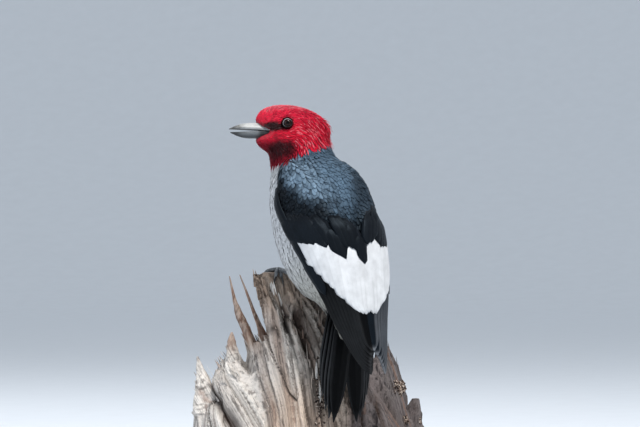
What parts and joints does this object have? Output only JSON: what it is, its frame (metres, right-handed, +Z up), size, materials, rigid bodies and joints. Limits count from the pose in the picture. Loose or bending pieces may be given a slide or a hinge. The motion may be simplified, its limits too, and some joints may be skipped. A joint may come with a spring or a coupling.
{
  "type": "woodpecker",
  "caption": "Still, life-size woodpecker with a red hood, clinging upright to the broken top of a dead trunk that a round display stand holds.",
  "frame": {"origin": "the middle of the stand base's underside", "axes": "+Z up; the bird's breast faces -Y and its left side is +X"},
  "size_m": [0.168, 0.168, 0.257],
  "materials": {
    "red_feather": "matte crimson feather",
    "white_feather": "matte white feather",
    "black_feather": "blue-black feather with a soft gloss",
    "bill_horn": "smooth blue-grey horn",
    "eye": "wet dark brown eye",
    "leg_skin": "grey scaled skin",
    "claw_horn": "dark horn",
    "old_wood": "dry, weathered, split wood",
    "stand_paint": "satin black lacquer on turned wood",
    "steel_rod": "brushed steel"
  },
  "bodies": {
    "root": {"stand_base": "stand_paint", "stand_rod_1": "steel_rod", "stand_rod_2": "steel_rod", "perch": "old_wood", "trunk": "white_feather", "mantle": "black_feather", "wing_left": "black_feather", "wing_right": "black_feather", "wing_left_secondaries": "white_feather", "wing_right_secondaries": "white_feather", "head": "red_feather", "bill_upper": "bill_horn", "bill_lower": "bill_horn", "eye_left": "eye", "eye_right": "eye", "tail": "black_feather", "thigh_left": "white_feather", "thigh_right": "white_feather", "foot_left": "leg_skin", "foot_right": "leg_skin", "claw_left_1": "claw_horn", "claw_right_1": "claw_horn", "claw_left_2": "claw_horn", "claw_right_2": "claw_horn", "claw_left_3": "claw_horn", "claw_right_3": "claw_horn", "claw_left_4": "claw_horn", "claw_right_4": "claw_horn", "neck": "red_feather"}
  },
  "joints": []
}
